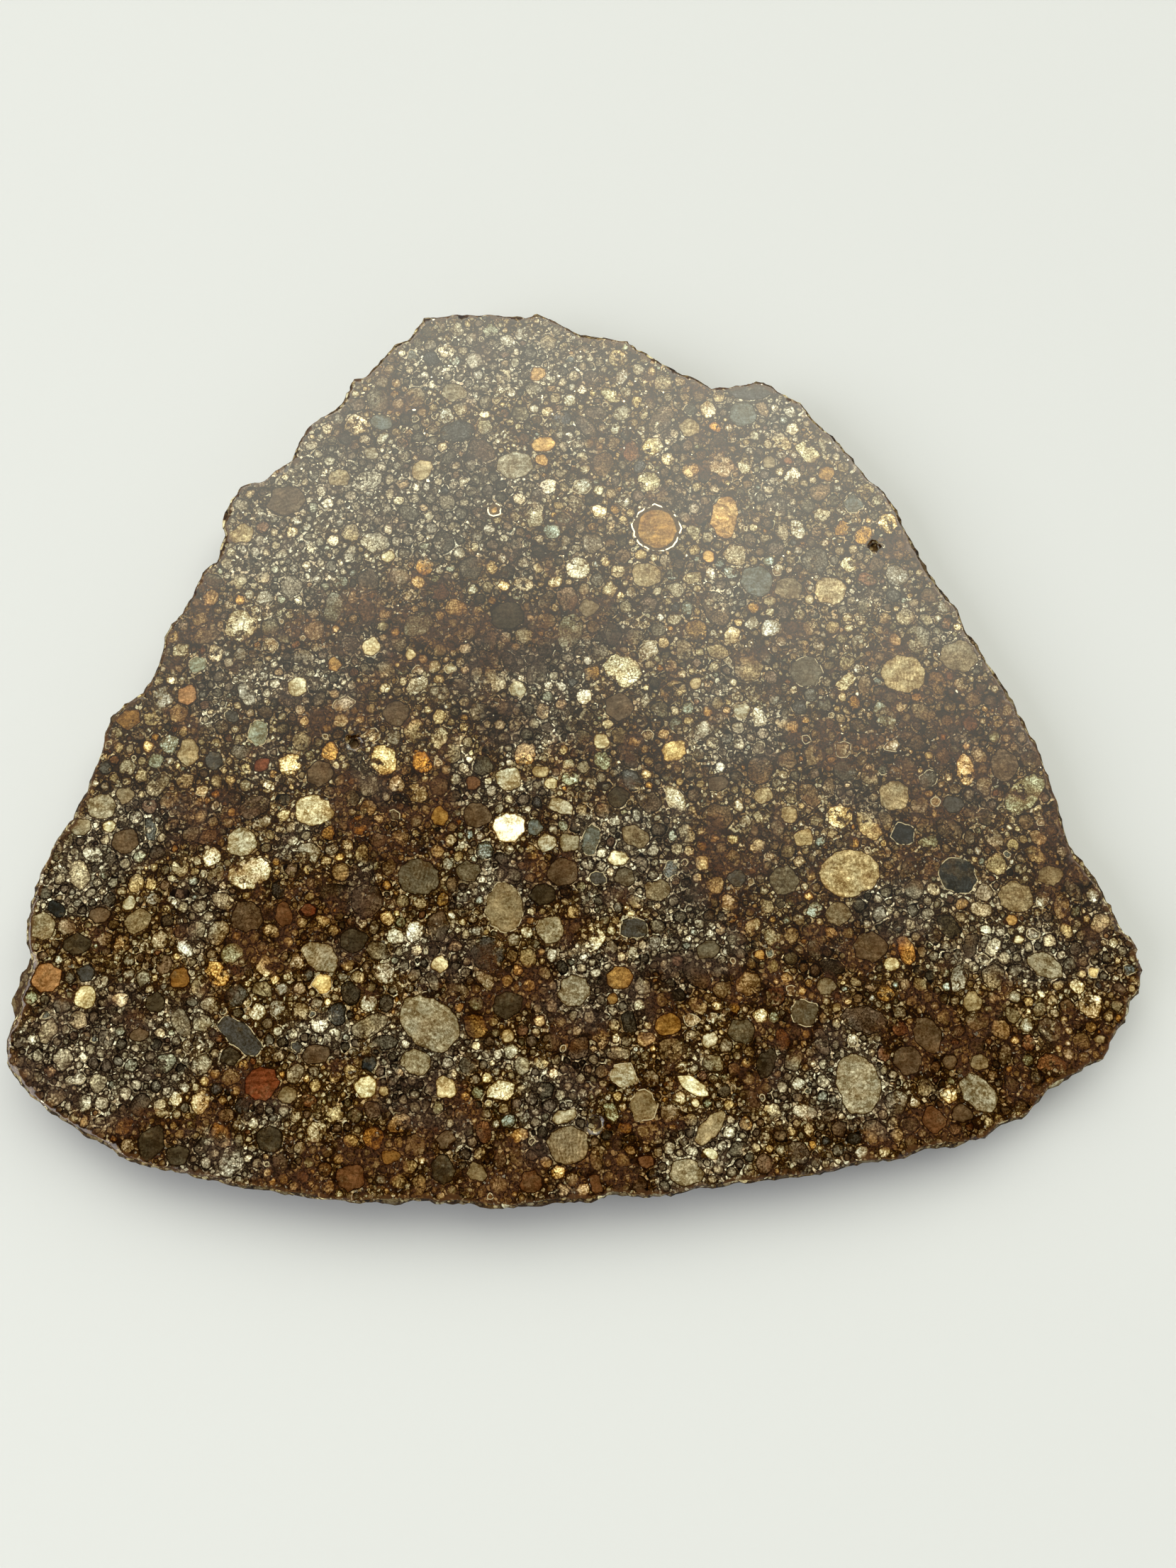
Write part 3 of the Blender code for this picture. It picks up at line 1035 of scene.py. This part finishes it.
def metal_flecks(shader, place):
    """Where small grains of metal and sulphide shine, from 0 to 1."""
    fine = shader.cells(place, 2.6)
    chance, size, _ = shader.parts(shader.output(fine, "Color"))
    small = shader.step(fine, 0.11 + size * 0.10, 0.07 + size * 0.10)
    small = small * shader.step(chance, 0.86, 0.88)
    rough = shader.warped(place, 4.0, 0.22)
    coarse = shader.cells(rough, 0.9)
    chance, size, _ = shader.parts(shader.output(coarse, "Color"))
    large = shader.step(coarse, 0.09 + size * 0.05, 0.07 + size * 0.05)
    large = large * shader.step(chance, 0.88, 0.90)
    return small.math("MAXIMUM", large)


class PolishedStone:
    """The material of the polished face, in layers. Light and dark are in photographic stops
    until the colour of the stone and its stops are put together."""

    def __init__(self, settings):
        self.settings = settings
        shader = self.shader = Shader(bpy.data.materials.new("polished chondrite"))
        place = self.place = shader.warped(shader.millimetres(), 2.2, 0.06)

        # What the mesh carries: colours, builds, places in the chondrule, and zones
        self.own = shader.attribute("chondrule", "Color")
        build = shader.attribute("build", "Vector")
        self.bars, self.crystals, self.ring = shader.parts(build)
        self.stained = 1.0 - shader.output(build, "Alpha")
        self.across, self.along, self.depth = shader.parts(shader.attribute("place", "Vector"))
        self.brown, self.pale, self.edge = shader.parts(shader.attribute("zone", "Vector"))

        # Noises that several layers share
        self.blot = shader.noise(place, 1.3, detail=3.0, roughness=0.6)
        self.fine = shader.noise(place, 5.5, detail=4.0, roughness=0.72)
        self.broad = shader.noise(place, 0.45, detail=3.0, roughness=0.55)
        self.chips = shader.noise(place, 1.9, detail=2.0, roughness=0.6)
        self.grit = shader.noise(place, 8.0, detail=2.0, roughness=0.6) - 0.5
        self.ragged = self.depth + (self.fine - 0.5) * 0.08
        self.cloud = shader.step(self.broad + self.brown * 0.35, 0.50, 0.85)
        self.ringed = shader.step(self.ring, 0.7, 0.8)

        # The chondrules, apart from where they are broken up and lost in the matrix
        crushed = shader.step(
            shader.noise(place, 0.85, detail=5.0, roughness=0.68), 0.52, 0.60)
        self.inside = shader.output(self.own, "Alpha") * (1.0 - crushed * self.stained * 0.85)

    def chondrule_stops(self):
        """Inside the chondrules: crystals, bars and streaks, and a dark line along the edge."""
        shader = self.shader
        crystal = shader.cells(self.place, 5.0)
        facet, _, _ = shader.parts(shader.output(crystal, "Color"))
        seam = shader.cells(self.place, 5.0, "DISTANCE_TO_EDGE")
        seam = shader.step(seam, 0.0, 0.10, -0.7, 0.0)
        wave = (self.across * 26.0 + self.blot * 20.0).math("SINE")
        wave = wave * shader.step(self.chips, 0.40, 0.56)
        drawn = shader.together(
            self.across * 1.1, self.along * 4.5, shader.parts(self.own)[0] * 40.0)
        streak = shader.noise(drawn, 1.0, detail=3.0, roughness=0.6) - 0.5
        stops = (self.blot - 0.5) * (2.8 + 3.2 * self.stained)
        stops = stops + (self.fine - 0.5) * (3.0 + self.crystals * 1.2)
        stops = stops + ((facet - 0.5) * 1.2 + seam) * self.crystals + self.bars * wave * 0.45
        stops = stops + self.grit * (1.2 + 5.8 * self.stained)
        stops = stops + streak * (3.2 - 1.6 * self.stained) + self.stained * 0.33
        line = shader.step(self.ragged, 0.0, 0.10, -3.8, 0.0)
        softness = shader.step(
            shader.noise(self.place, 0.75, detail=2.0), 0.40, 0.62, 0.35, 1.6)
        shoulder = shader.step(self.ragged, 0.02, 0.24, -1.2, 0.0) * softness
        return stops + line + shoulder * (0.3 + 0.7 * self.stained)

    def matrix(self):
        """The matrix: its colour, and its grains, cracks and paler crumbs in stops."""
        shader = self.shader
        grain = shader.cells(self.place, 4.4)
        chance, other, _ = shader.parts(shader.output(grain, "Color"))
        crack = shader.cells(self.place, 4.4, "DISTANCE_TO_EDGE")
        stops = shader.step(chance, 0.25, 1.0, -3.0, 1.0) + (self.fine - 0.5) * 4.0
        stops = stops + self.grit * 5.0 + shader.step(crack, 0.02, 0.12, -2.4, 0.0)
        stops = stops + shader.step(self.broad, 0.42, 0.62, -0.5, 0.4) + self.pale * 0.9
        return shader.mix(other, self.settings.matrix_warm, self.settings.matrix_grey), stops

    def stone(self):
        """Chondrules and matrix together, under brown clouds, bright specks and cracks."""
        shader = self.shader
        matrix, dim = self.matrix()
        colour = shader.mix(self.inside, matrix, self.own)
        stops = shader.blend(self.inside, dim, self.chondrule_stops())
        speck = shader.cells(self.place, 3.1)
        lucky, _, _ = shader.parts(shader.output(speck, "Color"))
        bright = shader.step(speck, 0.20, 0.12) * shader.step(lucky, 0.78, 0.80)
        shade = self.brown * 0.4 + self.cloud * 0.5
        split = shader.cells(shader.warped(self.place, 2.0, 0.16), 1.1, "DISTANCE_TO_EDGE")
        cracked = shader.step(split, 0.035, 0.015) * shader.step(self.blot, 0.50, 0.56)
        stops = stops + (bright * 0.5 - shade - cracked * 1.8) * self.stained
        return shader.exposed(colour, stops)

    def weathered(self, colour):
        """Warmer and cooler parts, rust, and the greyer patches."""
        shader = self.shader
        warmth = shader.noise(self.place, 0.95, detail=2.0) - 0.5
        warmth = shader.together(1.0 + warmth * 0.3, 1.0, 1.0 - warmth * 0.4)
        colour = shader.vector("MULTIPLY", colour, warmth)
        rusty = shader.noise(self.place, 0.5, detail=4.0) + self.brown * 0.14
        rusty = shader.step(rusty, 0.56, 0.70)
        tinted = (self.brown * 0.2 + self.cloud * 0.15 + rusty * 0.6) * self.stained
        colour = shader.mix(tinted, colour, self.settings.rust_tint, "MULTIPLY")
        haze = rusty * self.stained * shader.step(self.fine, 0.40, 0.58, 0.05, 0.42)
        colour = shader.mix(haze, colour, self.settings.haze_colour)
        grey = shader.node("ShaderNodeRGBToBW", None, {0: colour})
        grey = shader.vector("SCALE", (1.04, 1.0, 0.80), scale=grey)
        return shader.mix(self.pale * self.stained * 0.50, colour, grey)

    def outlined(self, colour):
        """Pale outlines, dark gaps inside the metal rings, and the brown border along the rim."""
        shader = self.shader
        gap = shader.step(self.depth, 0.32, 0.25) * self.ringed
        colour = shader.mix(gap * 0.85, colour, self.settings.dark_colour)
        band = shader.step(self.ragged, 0.075, 0.050) * shader.step(self.ring, 0.2, 0.3)
        band = band * shader.step(self.chips, 0.44, 0.54) * (1.0 - self.ringed)
        colour = shader.mix(band * 0.75, colour, self.settings.ring_colour)
        border = shader.step(self.edge + (self.blot - 0.5) * 1.6, 0.30, 0.0)
        return shader.mix(border * 0.5, colour, self.settings.border_colour)

    def metal(self):
        """Where metal and sulphide shine: in broken rings, flecks and crumbs."""
        shader = self.shader
        rings = shader.step(self.ragged, 0.12, 0.08) * self.ringed
        rings = rings * shader.step(self.chips, 0.42, 0.50)
        crumbs = shader.noise(self.place, 4.6, detail=2.0, roughness=0.6)
        crumbs = shader.step(crumbs, 0.645, 0.680)
        crumbs = crumbs * shader.step(shader.noise(self.place, 0.4, detail=2.0), 0.48, 0.60)
        loose = metal_flecks(shader, self.place).math("MAXIMUM", crumbs * 0.5)
        return rings.math("MAXIMUM", loose * (1.0 - self.inside))

    def material(self):
        """All the layers, under a glossy polish."""
        shader = self.shader
        inputs = shader.surface.inputs
        metal = self.metal()
        colour = self.outlined(self.weathered(self.stone()))
        colour = shader.mix(metal, colour, self.settings.metal_colour)
        shader.feed(inputs["Base Color"], colour)
        shader.feed(inputs["Metallic"], metal * 0.9)
        roughness = self.settings.polish_roughness + self.blot * 0.05 + (1.0 - self.inside) * 0.02
        shader.feed(inputs["Roughness"], roughness)
        relief = self.inside * 0.4 + self.blot * 0.6 + metal * 0.4
        shader.feed(inputs["Normal"], shader.bump(relief, 0.15, 0.02 * MM))
        inputs["IOR"].default_value = 1.52
        return shader.owner


def solid_chondrules(shader, place):
    """Chondrules of three sizes all through the stone: their colour with the dark matrix between
    them, how far inside one each point lies, and the fine grain in stops of light."""
    small = shader.cells(place, 3.1)
    chance, light, _ = shader.parts(shader.output(small, "Color"))
    colour = stone_colour(shader, chance)
    inside = shader.step(small, 0.55, 0.38)
    lit = (light - 0.5) * 1.6
    for scale, rare in ((1.7, 0.40), (0.85, 0.72)):
        body = shader.cells(place, scale)
        chance, there, light = shader.parts(shader.output(body, "Color"))
        there = shader.step(there, rare, rare + 0.02)
        within = shader.step(body, 0.50, 0.47) * there
        rind = shader.step(body, 0.43, 0.50) * shader.step(body, 0.60, 0.52) * there
        colour = shader.mix(within, colour, stone_colour(shader, chance))
        inside = inside.math("MAXIMUM", within)
        lit = shader.blend(within, lit, (light - 0.5) * 1.2) - rind * 1.8
    blot = shader.noise(place, 1.5, detail=3.0, roughness=0.6) - 0.5
    fine = shader.noise(place, 6.0, detail=4.0, roughness=0.72) - 0.5
    lit = lit + blot * 3.0 + fine * 4.5 + shader.step(inside, 0.0, 1.0, -2.2, 0.0)
    return colour, inside, lit


def back_material(settings):
    """The sawn back: the same stone, dry and matt, with the saw's arcs across it."""
    shader = Shader(bpy.data.materials.new("sawn back"))
    place = shader.warped(shader.millimetres(), 1.6, 0.10)
    colour, inside, lit = solid_chondrules(shader, place)
    cloud = shader.noise(place, 2.0, detail=3.0, roughness=0.6)
    broad = shader.noise(place, 0.18, detail=3.0, roughness=0.6)
    saw_x, saw_y, _ = shader.parts(shader.millimetres())
    run = saw_x + SAW_REACH
    reach = shader.math("SQRT", run * run + saw_y * saw_y)
    arcs = (reach * 9.0 + cloud * 1.5).math("SINE")
    chatter = shader.noise(shader.together(reach, 0.0, 0.0), 1.1, detail=3.0)
    colour = shader.exposed(colour, lit * 0.7 + (broad - 0.5) * 2.0)
    colour = shader.mix(
        shader.step(broad, 0.42, 0.62) * 0.5, colour, settings.rust_tint, "MULTIPLY")
    dust = 0.55 + cloud * 0.3 + arcs * 0.08 + (chatter - 0.5) * 0.6
    colour = shader.mix(dust * 0.35, colour, settings.dust_colour)
    shader.feed(shader.surface.inputs["Base Color"], colour)
    shader.feed(shader.surface.inputs["Roughness"], 0.52 + cloud * 0.2)
    relief = arcs * 0.5 + chatter * 1.2 + inside * 0.3
    shader.feed(shader.surface.inputs["Normal"], shader.bump(relief, 0.5, 0.04 * MM))
    return shader.owner


def rim_material(settings):
    """The rim: broken stone under brown desert varnish, with rust and pale dust in the hollows."""
    shader = Shader(bpy.data.materials.new("weathered rim"))
    place = shader.warped(shader.millimetres(), 1.4, 0.15)
    stone, inside, lit = solid_chondrules(shader, place)
    fresh = shader.exposed(stone, lit)
    colour = shader.exposed(stone, lit * 0.8 - 0.3)
    cloud = shader.noise(place, 1.3, detail=5.0, roughness=0.62)
    broad = shader.noise(place, 0.22, detail=3.0, roughness=0.55)
    varnish = shader.step(broad + cloud * 0.5, 0.55, 0.90)
    colour = shader.mix(0.45 + varnish * 0.45, colour, settings.varnish_colour)
    rust = shader.step(shader.noise(place, 0.5, detail=4.0), 0.52, 0.66)
    colour = shader.mix(rust * 0.5, colour, settings.rim_rust_colour)
    dust = shader.step(cloud, 0.40, 0.28)
    colour = shader.mix(dust * 0.2, colour, settings.dust_colour)

    # The worn edge at the top is still cut stone
    _, _, height = shader.parts(shader.millimetres())
    level = THICKNESS / MM
    cut = shader.step(height + (cloud - 0.5) * 0.3, level - 0.40, level - 0.12)
    colour = shader.mix(cut, colour, fresh)
    shader.feed(shader.surface.inputs["Base Color"], colour)
    shader.feed(shader.surface.inputs["Roughness"], 0.65 + cloud * 0.35 - cut * 0.3)
    shader.surface.inputs["Specular IOR Level"].default_value = 0.1
    relief = inside * 0.6 + cloud * 1.4 + shader.noise(place, 5.0, detail=4.0) * 0.8
    shader.feed(shader.surface.inputs["Normal"], shader.bump(relief, 0.8, 0.12 * MM))
    return shader.owner


def floor_material(colour):
    """A plain pale matt floor."""
    shader = Shader(bpy.data.materials.new("floor"))
    shader.feed(shader.surface.inputs["Base Color"], tuple(colour))
    shader.surface.inputs["Roughness"].default_value = 0.85
    shader.surface.inputs["Specular IOR Level"].default_value = 0.2
    return shader.owner


class ChondriteSliceSettings(bpy.types.PropertyGroup):
    """Sizes and colours of the slice."""

    seed: IntProperty(
        name="Seed", description="Where the packed chondrules fall", default=11)
    gap: FloatProperty(
        name="Gap", description="Matrix left between neighbouring chondrules",
        default=0.028 * MM, unit="LENGTH")
    growth: FloatProperty(
        name="Growth", description="How far a packed chondrule may grow, as a share of its size",
        default=0.50, subtype="FACTOR")
    longest_growth: FloatProperty(
        name="Longest Growth", description="How far any side of a chondrule may grow",
        default=0.20 * MM, unit="LENGTH")
    ring_depth: FloatProperty(
        name="Ring Depth", description="How far inside a chondrule's edge its inner ring lies",
        default=0.24 * MM, unit="LENGTH")
    ring_size: FloatProperty(
        name="Ring Size", description="Radius above which a chondrule has an inner ring",
        default=0.50 * MM, unit="LENGTH")
    grain_height: FloatProperty(
        name="Grain Height", description="How far the rim's grains stand out",
        default=0.30 * MM, unit="LENGTH")
    rim_cuts: IntProperty(
        name="Rim Cuts", description="How many times each edge of the rim is cut", default=1)
    polish_roughness: FloatProperty(
        name="Polish", description="Roughness of the polished face", default=0.08,
        subtype="FACTOR")
    matrix_warm: FloatVectorProperty(
        name="Warm Matrix", description="Colour of the browner fine grains of the matrix",
        default=(0.170, 0.105, 0.042), subtype="COLOR")
    matrix_grey: FloatVectorProperty(
        name="Grey Matrix", description="Colour of the greyer fine grains of the matrix",
        default=(0.230, 0.198, 0.115), subtype="COLOR")
    dark_colour: FloatVectorProperty(
        name="Dark", description="Colour of the darkest gaps", default=(0.020, 0.010, 0.004),
        subtype="COLOR")
    metal_colour: FloatVectorProperty(
        name="Metal", description="Colour of the metal and sulphide grains",
        default=(0.60, 0.54, 0.40), subtype="COLOR")
    ring_colour: FloatVectorProperty(
        name="Ring", description="Colour of pale outlines round chondrules",
        default=(0.50, 0.42, 0.25), subtype="COLOR")
    rust_tint: FloatVectorProperty(
        name="Rust Tint", description="What brown staining lets through of the colour below it",
        default=(1.00, 0.80, 0.60), subtype="COLOR")
    haze_colour: FloatVectorProperty(
        name="Rust Haze", description="Colour of the rust that lies over chondrules and matrix",
        default=(0.085, 0.038, 0.019), subtype="COLOR")
    border_colour: FloatVectorProperty(
        name="Border", description="Colour of the brown border that the rim shows in the polish",
        default=(0.085, 0.038, 0.014), subtype="COLOR")
    rim_rust_colour: FloatVectorProperty(
        name="Rim Rust", description="Colour of rust on the rim",
        default=(0.15, 0.055, 0.018), subtype="COLOR")
    varnish_colour: FloatVectorProperty(
        name="Varnish", description="Colour of the rim's brown weathering",
        default=(0.045, 0.022, 0.010), subtype="COLOR")
    dust_colour: FloatVectorProperty(
        name="Dust", description="Colour of dry stone dust on the back and in hollows",
        default=(0.27, 0.22, 0.15), subtype="COLOR")


class ChondriteStageSettings(bpy.types.PropertyGroup):
    """Floor, camera and light."""

    floor_colour: FloatVectorProperty(
        name="Floor", description="Colour of the pale floor", default=(0.53, 0.55, 0.575),
        subtype="COLOR")
    floor_width: FloatProperty(
        name="Floor Width", description="Side of the square floor", default=8.0, unit="LENGTH")
    glow: FloatProperty(
        name="Glow", description="Brightness of the sky beyond the slice that the polish mirrors",
        default=5.0)
    side_light: FloatProperty(
        name="Side Panel", description="Power of the large panel at the side, in watts",
        default=6.0)
    horizon: FloatVectorProperty(
        name="Horizon", description="Light from low all round", default=(0.55, 0.56, 0.56),
        subtype="COLOR")
    zenith: FloatVectorProperty(
        name="Zenith", description="Light from straight above", default=(0.030, 0.022, 0.010),
        subtype="COLOR")


class MESH_OT_chondrite_slice(bpy.types.Operator):
    """Builds the slice with its packed polished face, rough rim and sawn back"""

    bl_idname = "mesh.chondrite_slice"
    bl_label = "Build Slice"

    def execute(self, context):
        settings = context.scene.chondrite_slice
        stone = open_stone()
        roughen_rim(stone, settings.rim_cuts, settings.grain_height)
        for face in stone.faces:
            face.material_index = RIM_SLOT
            face.smooth = True
        rings = [anticlockwise(loop) for loop in boundary_loops(stone)]
        loops = [ring for ring in rings if ring[0].co.z > THICKNESS / 2]
        back = [ring for ring in rings if ring[0].co.z < THICKNESS / 2]
        for face, _ in fill_flat(stone, back, len(back) - 1, [], 0.0, False):
            face.material_index = BACK_SLOT
        outline = Outline(loops[0])
        brown = Zones(BROWN_ZONES, 4.1)
        pale = Zones(PALE_ZONES, 9.3)
        chondrules = packed_chondrules(outline, loops[1:], settings, brown, pale)
        PolishedFace(stone, loops, chondrules).fill(settings.ring_depth, settings.ring_size)
        write_zones(stone, outline, brown, pale)
        write_bake_map(stone, outline)
        mesh = bpy.data.meshes.new("chondrite_slice")
        stone.to_mesh(mesh)
        stone.free()
        mesh.materials.append(PolishedStone(settings).material())
        mesh.materials.append(back_material(settings))
        mesh.materials.append(rim_material(settings))
        mesh.set_sharp_from_angle(angle=SHARP_ANGLE)
        piece = bpy.data.objects.new("chondrite_slice", mesh)
        context.scene.collection.objects.link(piece)
        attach(piece, "root")
        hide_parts(NODE)
        mesh.calc_loop_triangles()
        print("chondrules", len(chondrules), "triangles", len(mesh.loop_triangles))
        return {"FINISHED"}


class SCENE_OT_chondrite_stage(bpy.types.Operator):
    """Adds the pale floor, the soft light and the camera over the slice"""

    bl_idname = "scene.chondrite_stage"
    bl_label = "Set Stage"

    def execute(self, context):
        settings = context.scene.chondrite_stage
        self.add_floor(context, settings)
        self.add_world(context, settings)
        self.add_panel(context, settings)
        self.add_camera(context)
        return {"FINISHED"}

    def add_floor(self, context, settings):
        mesh = bmesh.new()
        bmesh.ops.create_grid(
            mesh, x_segments=1, y_segments=1, size=settings.floor_width / 2)
        bmesh.ops.translate(mesh, verts=mesh.verts, vec=(0.0, 0.0, -FLOOR_GAP))
        data = bpy.data.meshes.new("floor")
        mesh.to_mesh(data)
        mesh.free()
        data.materials.append(floor_material(settings.floor_colour))
        floor_object = bpy.data.objects.new("floor", data)
        context.scene.collection.objects.link(floor_object)

    def add_world(self, context, settings):
        """Pale light low all round, a dark ceiling, and a broad glow beyond the slice's peak."""
        sky = Shader(bpy.data.worlds.new("studio"), "Background")
        direction = sky.node("ShaderNodeTexCoord", output="Generated")
        x, y, z = sky.parts(direction)
        base = sky.mix(
            sky.step(z, 0.35, 0.85), tuple(settings.horizon), tuple(settings.zenith))
        reach = y + sky.step(x, -0.06, 0.14) * 0.12 + sky.step(x, -0.10, -0.30) * 0.045
        ahead = sky.step(reach, 0.12, 0.60) * sky.step(y, 0.92, 0.70) * sky.step(z, 0.10, 0.35)
        sideways = sky.step(x - 0.08, -0.75, -0.45) * sky.step(x - 0.08, 0.75, 0.45)
        glow = sky.mix(ahead * sideways, (0.0, 0.0, 0.0), GLOW_COLOUR)
        glow = sky.vector("SCALE", glow, scale=settings.glow)
        sky.feed(sky.surface.inputs["Color"], sky.vector("ADD", base, glow))
        context.scene.world = sky.owner

    def add_panel(self, context, settings):
        """A large soft panel at the side, turned towards the slice."""
        light = bpy.data.lights.new("side panel", "AREA")
        light.shape = "RECTANGLE"
        light.size = PANEL_SIDE
        light.size_y = PANEL_SIDE
        light.energy = settings.side_light
        light.color = PANEL_COLOUR
        panel = bpy.data.objects.new("side panel", light)
        panel.location = PANEL_PLACE
        panel.rotation_euler = (-Vector(PANEL_PLACE)).to_track_quat("-Z", "Y").to_euler()
        panel.visible_camera = False
        context.scene.collection.objects.link(panel)

    def add_camera(self, context):
        data = bpy.data.cameras.new("camera")
        data.sensor_width = SENSOR
        data.lens = SENSOR * FOCAL_PIXELS / PHOTO_HEIGHT
        data.clip_start = 0.001
        data.clip_end = 50.0
        camera = bpy.data.objects.new("camera", data)
        camera.location = CAMERA_PLACE
        camera.rotation_euler = (CAMERA_TILT, 0.0, 0.0)
        context.scene.collection.objects.link(camera)
        context.scene.camera = camera


class VIEW3D_PT_chondrite(bpy.types.Panel):
    """Lists the steps that build the slice and its stage."""

    bl_label = "Chondrite Slice"
    bl_space_type = "VIEW_3D"
    bl_region_type = "UI"
    bl_category = "Meteorite"

    def draw(self, context):
        layout = self.layout
        slice_settings = context.scene.chondrite_slice
        for name in slice_settings.bl_rna.properties.keys():
            if name not in {"rna_type", "name"}:
                layout.prop(slice_settings, name)
        layout.operator(MESH_OT_chondrite_slice.bl_idname)
        stage_settings = context.scene.chondrite_stage
        for name in stage_settings.bl_rna.properties.keys():
            if name not in {"rna_type", "name"}:
                layout.prop(stage_settings, name)
        layout.operator(SCENE_OT_chondrite_stage.bl_idname)


CLASSES = (
    ChondriteSliceSettings, ChondriteStageSettings, MESH_OT_chondrite_slice,
    SCENE_OT_chondrite_stage, VIEW3D_PT_chondrite,
)


def register():
    for cls in CLASSES:
        bpy.utils.register_class(cls)
    bpy.types.Scene.chondrite_slice = PointerProperty(type=ChondriteSliceSettings)
    bpy.types.Scene.chondrite_stage = PointerProperty(type=ChondriteStageSettings)


def unregister():
    del bpy.types.Scene.chondrite_stage
    del bpy.types.Scene.chondrite_slice
    for cls in reversed(CLASSES):
        bpy.utils.unregister_class(cls)


def main():
    register()
    bpy.ops.mesh.chondrite_slice()
    bpy.ops.scene.chondrite_stage()
    bpy.context.scene.view_settings.view_transform = "Standard"


if __name__ == "__main__":
    main()
